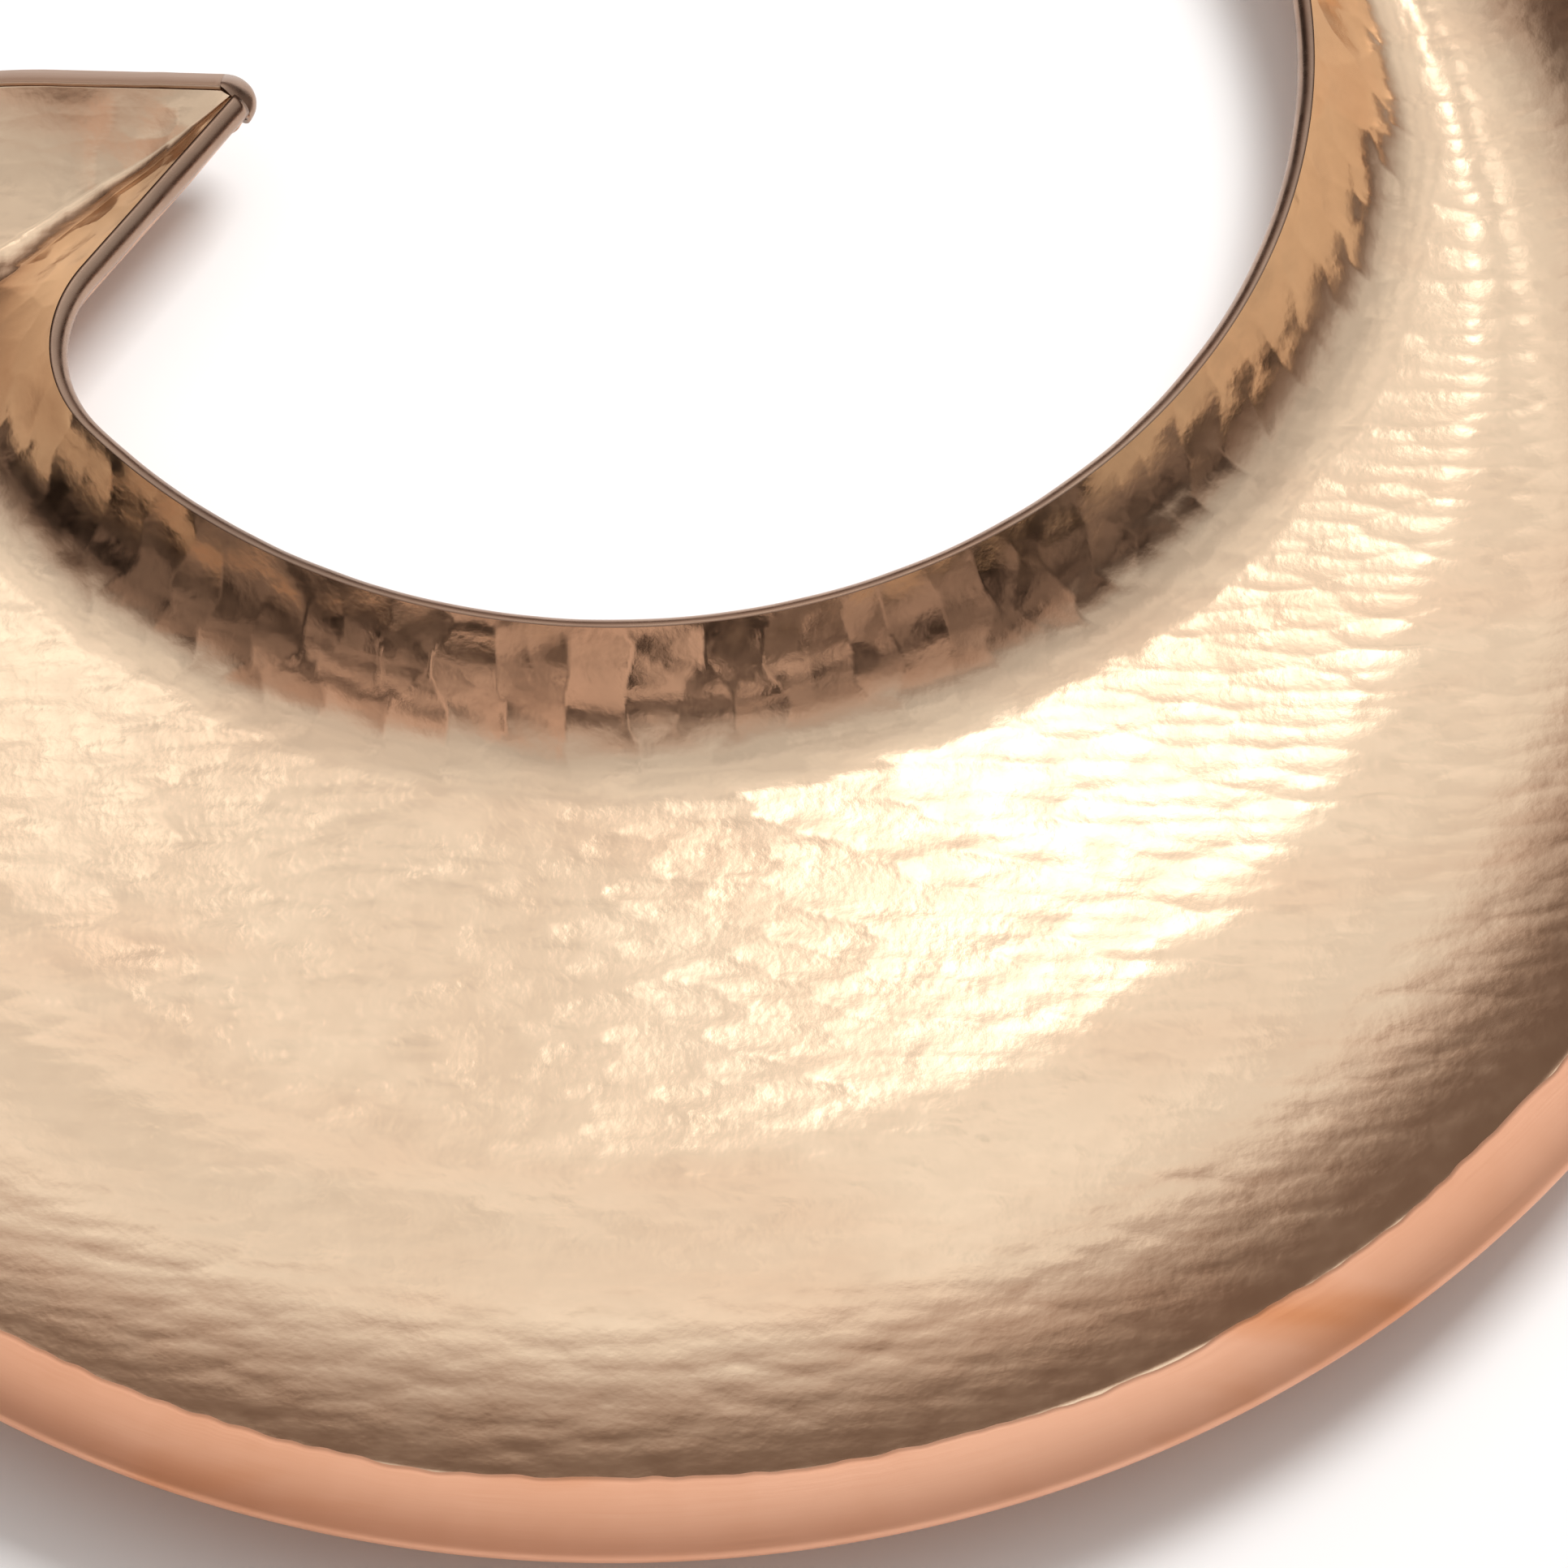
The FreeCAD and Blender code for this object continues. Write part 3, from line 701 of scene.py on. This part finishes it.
def smoothCopper():
    material, tree, shader = newMaterial("smoothCopper")
    tone = addTone(tree, {"Light": smooth["light"], "Dark": smooth["dark"], "Red": smooth["red"],
                          "Scale": smooth["cloudScale"], "Red Amount": smooth["streaks"]})
    uv = node(tree, "ShaderNodeUVMap", uv_map="along")
    brushed = node(tree, "ShaderNodeMapping", {"Vector": uv.outputs["UV"], "Scale": smooth["brush"]})
    brush = node(tree, "ShaderNodeTexNoise", {"Vector": brushed.outputs["Vector"], "Scale": 2.0, "Detail": 6.0})
    rough = node(tree, "ShaderNodeMapRange", {"Value": brush.outputs["Fac"], "From Min": 0.3, "From Max": 0.7,
                                              "To Min": smooth["roughLow"], "To Max": smooth["roughHigh"]})
    split = node(tree, "ShaderNodeSeparateXYZ", {"Vector": uv.outputs["UV"]})
    # the light edge colour is a painted highlight along the lip's inner crest, at the loop's closing step
    highlightMask = node(tree, "ShaderNodeMapRange", {"Value": split.outputs["Y"], "From Min": smooth["highlightStart"],
                                            "From Max": smooth["highlightEnd"]})
    color = node(tree, "ShaderNodeMix", {"Factor": highlightMask.outputs["Result"]}, data_type="RGBA")
    # the first stretch, over the horn, is darkened: a painted dark reflection
    horn = node(tree, "ShaderNodeMapRange", {"Value": split.outputs["X"], "From Min": smooth["hornEnd"][0],
                                             "From Max": smooth["hornEnd"][1], "To Min": 1.0, "To Max": 0.0})
    hornDarkReflection = node(tree, "ShaderNodeMix", {"Factor": horn.outputs["Result"]}, data_type="RGBA")
    setMix(hornDarkReflection, smooth["hornDarkReflection"])
    tree.links.new(tone.outputs["Color"], hornDarkReflection.inputs[6])
    tree.links.new(hornDarkReflection.outputs[2], color.inputs[6])
    setMix(color, smooth["edge"])
    bump = node(tree, "ShaderNodeBump", {"Height": brush.outputs["Fac"], "Strength": 0.25, "Distance": 0.00004})
    tree.links.new(color.outputs[2], shader.inputs["Base Color"])
    tree.links.new(rough.outputs["Result"], shader.inputs["Roughness"])
    tree.links.new(bump.outputs["Normal"], shader.inputs["Normal"])
    shader.inputs["Metallic"].default_value = smooth["metal"]
    return material


# finishes without a mark along their edge; scratch is the scale of their fine lines
plain = {
    # the mouth bead and tip caps get a dark base colour: painted dark reflection
    "darkReflectionEdge": {
        "light": (0.50, 0.34, 0.25, 1), "dark": (0.30, 0.20, 0.15, 1),
        "red": (0.40, 0.20, 0.12, 1), "scratch": 500.0, "rough": (0.2, 0.34),
    },
    "wallCopper": {
        "light": (0.80, 0.53, 0.38, 1), "dark": (0.70, 0.43, 0.29, 1),
        "red": (0.62, 0.30, 0.15, 1), "scratch": 600.0, "rough": (0.3, 0.5),
    },
    "rimWire": {
        "light": (0.70, 0.48, 0.34, 1), "dark": (0.52, 0.33, 0.22, 1),
        "red": (0.48, 0.24, 0.12, 1), "scratch": 900.0, "rough": (0.3, 0.5),
    },
}


def plainCopper(name):
    settings = plain[name]
    material, tree, shader = newMaterial(name)
    tone = addTone(tree, {"Light": settings["light"], "Dark": settings["dark"], "Red": settings["red"],
                          "Scale": 14.0, "Red Amount": 0.4})
    coord = node(tree, "ShaderNodeTexCoord")
    stretched = node(tree, "ShaderNodeMapping", {"Vector": coord.outputs["Object"], "Scale": (0.15, 1.0, 1.0)})
    scratch = node(tree, "ShaderNodeTexNoise", {
        "Vector": stretched.outputs["Vector"], "Scale": settings["scratch"], "Detail": 6.0})
    rough = node(tree, "ShaderNodeMapRange", {
        "Value": scratch.outputs["Fac"], "From Min": 0.3, "From Max": 0.7,
        "To Min": settings["rough"][0], "To Max": settings["rough"][1]})
    bump = node(tree, "ShaderNodeBump", {
        "Height": scratch.outputs["Fac"], "Strength": 0.3, "Distance": 0.00005})
    tree.links.new(tone.outputs["Color"], shader.inputs["Base Color"])
    tree.links.new(rough.outputs["Result"], shader.inputs["Roughness"])
    tree.links.new(bump.outputs["Normal"], shader.inputs["Normal"])
    shader.inputs["Metallic"].default_value = 1.0
    return material


hammeredFinish = hammeredCopper()
edgeFinish = plainCopper("darkReflectionEdge")
lipFinish = smoothCopper()
wallFinish = plainCopper("wallCopper")
wireFinish = plainCopper("rimWire")


def dress(piece, material):
    piece.data.materials.clear()
    piece.data.materials.append(material)


for piece in dishPieces:
    dress(piece, hammeredFinish)
for piece in edgePieces:
    dress(piece, edgeFinish)
dress(lipPiece, lipFinish)
for piece in wallPieces:
    dress(piece, wallFinish)
dress(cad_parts["base_plate"], wallFinish)
dress(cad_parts["belly_rim_wire"], wireFinish)
for name in ("hammered_dish", "belly_lip", "mouth_edge_bead", "horn_tip_cap", "arm_tip_cap",
             "belly_side_wall", "mouth_side_wall"):
    dress(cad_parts[name], wallFinish)
print("finishes on")

# floor, light and camera; Way and Spread are the x and y of a direction
studio = {
    "northBright": 0.90, "southBright": 0.62, "horizonShare": 0.17, "sideShare": 0.72,
    "sideHorizon": 0.3, "patchDark": 0.02, "patchLight": 0.6, "warmDark": (1.0, 0.72, 0.60, 1),
    "paleRoom": (1.0, 0.99, 0.97, 1),
    "boxWay": (0.085, 0.40), "boxSpread": (0.045, 0.075), "boxGain": 1.9,
    "sparkWay": (-0.18, 0.42), "sparkSpread": (0.035, 0.05), "sparkGain": 0.7,
    "fillPlace": (0.55, 0.75, 1.3), "fillAim": (0.02, -0.04, 0.01), "fillSize": 0.7, "fillPower": 20.5,
    "floorSize": 4.0, "floorTone": (0.92, 0.94), "floorGlow": 0.03,
    "lens": 150.28, "aim": (22.2, -54.4, 15.5), "distance": 0.9, "elevation": 60.0,
}


def addFloor():
    bm = bmesh.new()
    bmesh.ops.create_grid(bm, x_segments=1, y_segments=1, size=studio["floorSize"])
    mesh = bpy.data.meshes.new("floor")
    bm.to_mesh(mesh)
    bm.free()
    floor = bpy.data.objects.new("floor", mesh)
    bpy.context.scene.collection.objects.link(floor)
    material, tree, shader = newMaterial("floorWhite")
    coord = node(tree, "ShaderNodeTexCoord")
    cloud = node(tree, "ShaderNodeTexNoise", {"Vector": coord.outputs["Object"], "Scale": 3.0})
    tone = node(tree, "ShaderNodeMapRange", {
        "Value": cloud.outputs["Fac"], "To Min": studio["floorTone"][0], "To Max": studio["floorTone"][1]})
    tree.links.new(tone.outputs["Result"], shader.inputs["Base Color"])
    shader.inputs["Roughness"].default_value = 0.9
    shader.inputs["Emission Color"].default_value = (1.0, 1.0, 1.0, 1)
    shader.inputs["Emission Strength"].default_value = studio["floorGlow"]
    mesh.materials.append(material)


def addWorld():
    # a pale room: bright to the back, dim to the sides, dark and cluttered near the horizon
    world = bpy.data.worlds.new("studioLight")
    bpy.context.scene.world = world
    world.use_nodes = True
    tree = world.node_tree
    background = tree.nodes["Background"]
    coord = node(tree, "ShaderNodeTexCoord")
    way = coord.outputs["Generated"]
    split = node(tree, "ShaderNodeSeparateXYZ", {"Vector": way})

    def ramp(value, low, high, start, end):
        made = node(tree, "ShaderNodeMapRange", {
            "Value": value, "From Min": low, "From Max": high, "To Min": start, "To Max": end},
            interpolation_type="SMOOTHSTEP")
        return made.outputs["Result"]

    def calc(kind, first, second):
        return node(tree, "ShaderNodeMath", {0: first, 1: second}, operation=kind).outputs["Value"]

    back = ramp(split.outputs["Y"], -0.45, 0.4, studio["southBright"], studio["northBright"])
    sideways = calc("ABSOLUTE", split.outputs["X"], 0.0)
    room = calc("MULTIPLY", back, ramp(sideways, 0.3, 0.8, 1.0, studio["sideShare"]))
    # the front wall is dark higher up
    level = calc("SUBTRACT", split.outputs["Z"], ramp(split.outputs["Y"], -0.6, 0.0, 0.36, 0.0))
    level = calc("SUBTRACT", level, ramp(split.outputs["X"], -0.45, -0.08, 0.24, 0.0))
    lift = ramp(level, 0.18, 0.6, 0.0, 1.0)
    haze = node(tree, "ShaderNodeTexNoise", {"Vector": way, "Scale": 8.0, "Detail": 2.0})
    room = calc("MULTIPLY", room, ramp(haze.outputs["Fac"], 0.35, 0.65, 0.82, 1.12))
    moved = node(tree, "ShaderNodeMapping", {"Vector": way, "Location": (1.3, 0.7, 0.2)})
    clutter = node(tree, "ShaderNodeTexNoise", {
        "Vector": moved.outputs["Vector"], "Scale": 3.6, "Detail": 5.0, "Roughness": 0.72})
    patch = ramp(clutter.outputs["Fac"], 0.42, 0.54, studio["patchDark"], studio["patchLight"])
    horizon = node(tree, "ShaderNodeMix", {"Factor": ramp(split.outputs["Y"], 0.0, 0.6, 1.0, 0.0),
                                           "A": studio["horizonShare"]}, data_type="FLOAT")
    tree.links.new(patch, horizon.inputs[3])
    value = node(tree, "ShaderNodeMix", {"Factor": lift}, data_type="FLOAT")
    low = calc("MULTIPLY", horizon.outputs[0], ramp(sideways, 0.3, 0.8, 1.0, studio["sideHorizon"]))
    tree.links.new(low, value.inputs[2])
    tree.links.new(room, value.inputs[3])

    def glow(base, name):
        place, spread = studio[name + "Way"], studio[name + "Spread"]
        across = calc("DIVIDE", calc("SUBTRACT", split.outputs["X"], place[0]), spread[0])
        along = calc("DIVIDE", calc("SUBTRACT", split.outputs["Y"], place[1]), spread[1])
        off = calc("ADD", calc("MULTIPLY", across, across), calc("MULTIPLY", along, along))
        return calc("ADD", base, ramp(off, 0.0, 3.2, studio[name + "Gain"], 0.0))

    # two soft lamps overhead
    total = glow(glow(value.outputs[0], "box"), "spark")
    tint = node(tree, "ShaderNodeMix", {"Factor": lift}, data_type="RGBA")
    setMix(tint, studio["warmDark"], side=6)
    setMix(tint, studio["paleRoom"])
    tree.links.new(tint.outputs[2], background.inputs["Color"])
    tree.links.new(total, background.inputs["Strength"])


def addFill():
    # one soft lamp that casts the shadow and doesn't show in the metal
    data = bpy.data.lights.new("fill", "AREA")
    data.shape = "RECTANGLE"
    data.size = data.size_y = studio["fillSize"]
    data.energy = studio["fillPower"]
    light = bpy.data.objects.new("fill", data)
    light.location = studio["fillPlace"]
    towards = Vector(studio["fillAim"]) - Vector(studio["fillPlace"])
    light.rotation_euler = towards.to_track_quat("-Z", "Y").to_euler()
    light.visible_glossy = False
    bpy.context.scene.collection.objects.link(light)


def addCamera():
    data = bpy.data.cameras.new("view")
    data.sensor_width = 36.0
    data.lens = studio["lens"]
    data.clip_start = 0.01
    camera = bpy.data.objects.new("view", data)
    rise = math.radians(studio["elevation"])
    back = Vector((0.0, -math.cos(rise), math.sin(rise)))
    camera.location = toFrame(*studio["aim"]) + back * studio["distance"]
    camera.rotation_euler = (math.radians(90.0 - studio["elevation"]), 0.0, 0.0)
    bpy.context.scene.collection.objects.link(camera)
    bpy.context.scene.camera = camera


addFloor()
addWorld()
addFill()
addCamera()
bpy.context.scene.view_settings.view_transform = "Standard"
print("studio ready")
